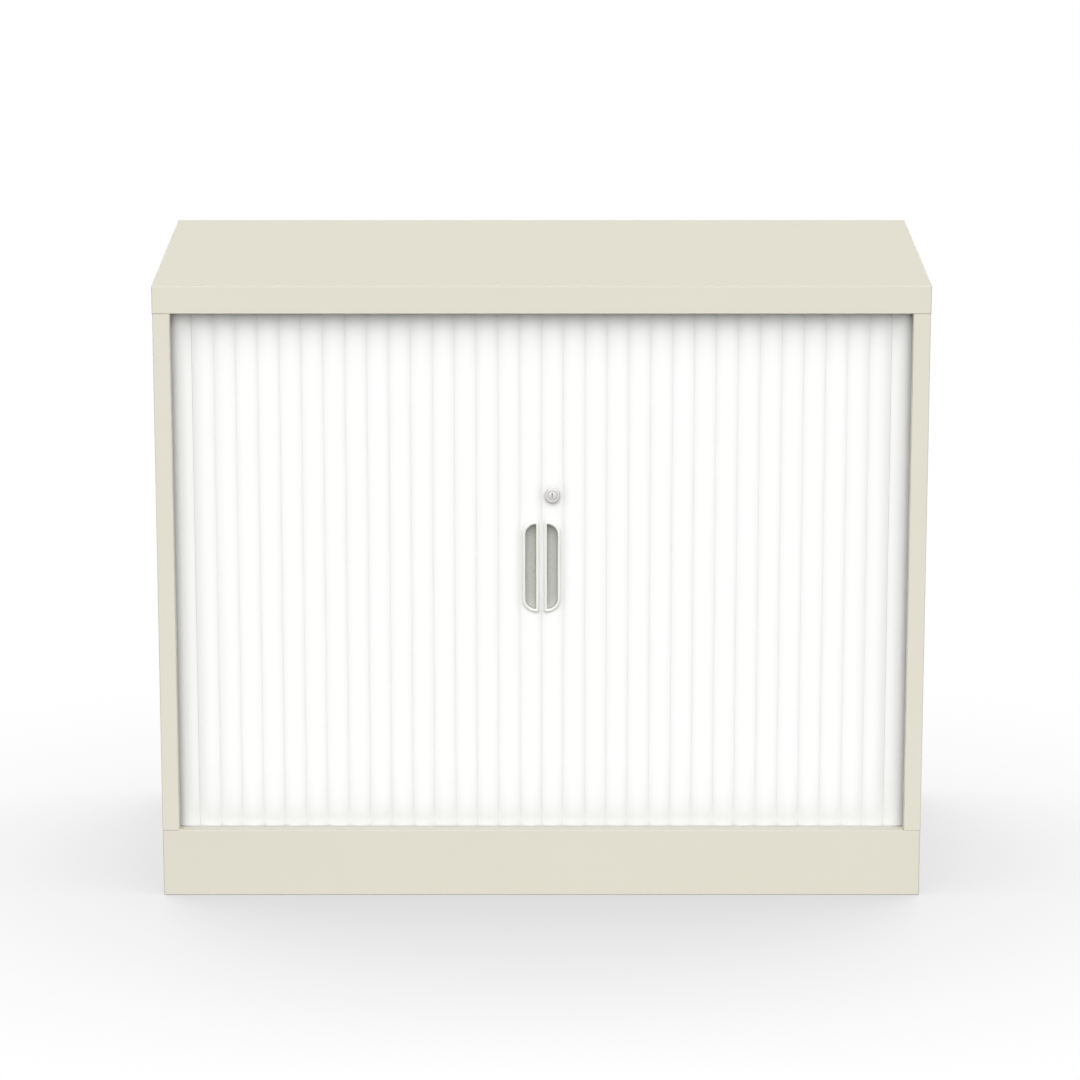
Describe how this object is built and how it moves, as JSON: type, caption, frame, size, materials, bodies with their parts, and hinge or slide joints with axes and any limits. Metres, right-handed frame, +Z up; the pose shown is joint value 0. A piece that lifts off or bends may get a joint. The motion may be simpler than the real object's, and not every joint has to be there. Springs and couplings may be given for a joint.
{
  "type": "tambour cupboard",
  "caption": "Low steel storage cupboard with side-opening slatted tambour doors, recessed pulls, a cam lock, an inner shelf and a plinth base.",
  "frame": {"origin": "on the floor, at the middle of the cupboard's footprint", "axes": "+X to the right as seen from the front, +Y from the front to the back, +Z up"},
  "size_m": [1, 0.47, 0.82],
  "materials": {
    "cream_steel": "cream epoxy powder coat, satin, very fine texture",
    "curtain_plastic": "white extruded plastic, fine matt grain",
    "pull_plastic": "pale cream-grey moulded plastic, satin",
    "track_plastic": "grey extruded plastic, smooth",
    "zinc_steel": "bright zinc plate",
    "lock_metal": "satin nickel",
    "stop_rubber": "black rubber",
    "foot_plastic": "black moulded nylon"
  },
  "bodies": {
    "carcass": {"top_panel": "cream_steel", "top_stiffener": "cream_steel", "inner_top": "cream_steel", "left_side_panel": "cream_steel", "right_side_panel": "cream_steel", "back_panel": "cream_steel", "base_panel": "cream_steel", "front_sill": "cream_steel", "plinth": "cream_steel", "left_liner": "cream_steel", "right_liner": "cream_steel", "shelf": "cream_steel", "shelf_clips": "zinc_steel", "left_top_track": "track_plastic", "right_top_track": "track_plastic", "left_bottom_track": "track_plastic", "right_bottom_track": "track_plastic", "track_screws": "zinc_steel", "curtain_stops": "stop_rubber", "back_rivets": "cream_steel", "foot_brackets": "zinc_steel", "left_slat_03": "curtain_plastic", "left_slat_04": "curtain_plastic", "left_slat_05": "curtain_plastic", "left_slat_06": "curtain_plastic", "left_slat_07": "curtain_plastic", "left_slat_08": "curtain_plastic", "left_slat_09": "curtain_plastic", "left_slat_10": "curtain_plastic", "left_slat_11": "curtain_plastic", "left_tail_slats": "curtain_plastic", "right_slat_03": "curtain_plastic", "right_slat_04": "curtain_plastic", "right_slat_05": "curtain_plastic", "right_slat_06": "curtain_plastic", "right_slat_07": "curtain_plastic", "right_slat_08": "curtain_plastic", "right_slat_09": "curtain_plastic", "right_slat_10": "curtain_plastic", "right_slat_11": "curtain_plastic", "right_tail_slats": "curtain_plastic"},
    "left_door": {"left_lead_slat": "curtain_plastic", "left_slat_02": "curtain_plastic", "left_pull": "pull_plastic", "striker": "zinc_steel", "striker_screws": "zinc_steel"},
    "right_door": {"right_lead_slat": "curtain_plastic", "right_slat_02": "curtain_plastic", "right_pull": "pull_plastic", "lock_barrel": "lock_metal", "lock_nut": "zinc_steel"},
    "lock_core": {"lock_plug": "lock_metal", "lock_cam": "zinc_steel", "cam_screw": "zinc_steel"},
    "front_left_levelling_foot": {"front_left_foot": "foot_plastic"},
    "front_right_levelling_foot": {"front_right_foot": "foot_plastic"},
    "back_left_levelling_foot": {"back_left_foot": "foot_plastic"},
    "back_right_levelling_foot": {"back_right_foot": "foot_plastic"}
  },
  "joints": [
    {"name": "left_door_slide", "type": "slide", "parent": "carcass", "child": "left_door", "axis": [-1, 0, 0], "range_m": [0, 0.4], "deforming": ["left_slat_03", "left_slat_04", "left_slat_05", "left_slat_06", "left_slat_07", "left_slat_08", "left_slat_09", "left_slat_10", "left_slat_11", "left_tail_slats"]},
    {"name": "right_door_slide", "type": "slide", "parent": "carcass", "child": "right_door", "axis": [1, 0, 0], "range_m": [0, 0.4], "deforming": ["right_slat_03", "right_slat_04", "right_slat_05", "right_slat_06", "right_slat_07", "right_slat_08", "right_slat_09", "right_slat_10", "right_slat_11", "right_tail_slats"]},
    {"name": "lock_turn", "type": "hinge", "parent": "right_door", "child": "lock_core", "pos_m": [0.0141, -0.198, 0.5395], "axis": [0, -1, 0], "range_deg": [0, 90]},
    {"name": "front_left_foot_turn", "type": "hinge", "parent": "carcass", "child": "front_left_levelling_foot", "pos_m": [-0.452, -0.187, 0.02], "axis": [0, 0, 1], "continuous": true},
    {"name": "back_left_foot_turn", "type": "hinge", "parent": "carcass", "child": "back_left_levelling_foot", "pos_m": [-0.452, 0.187, 0.02], "axis": [0, 0, 1], "continuous": true},
    {"name": "front_right_foot_turn", "type": "hinge", "parent": "carcass", "child": "front_right_levelling_foot", "pos_m": [0.452, -0.187, 0.02], "axis": [0, 0, 1], "continuous": true},
    {"name": "back_right_foot_turn", "type": "hinge", "parent": "carcass", "child": "back_right_levelling_foot", "pos_m": [0.452, 0.187, 0.02], "axis": [0, 0, 1], "continuous": true}
  ]
}
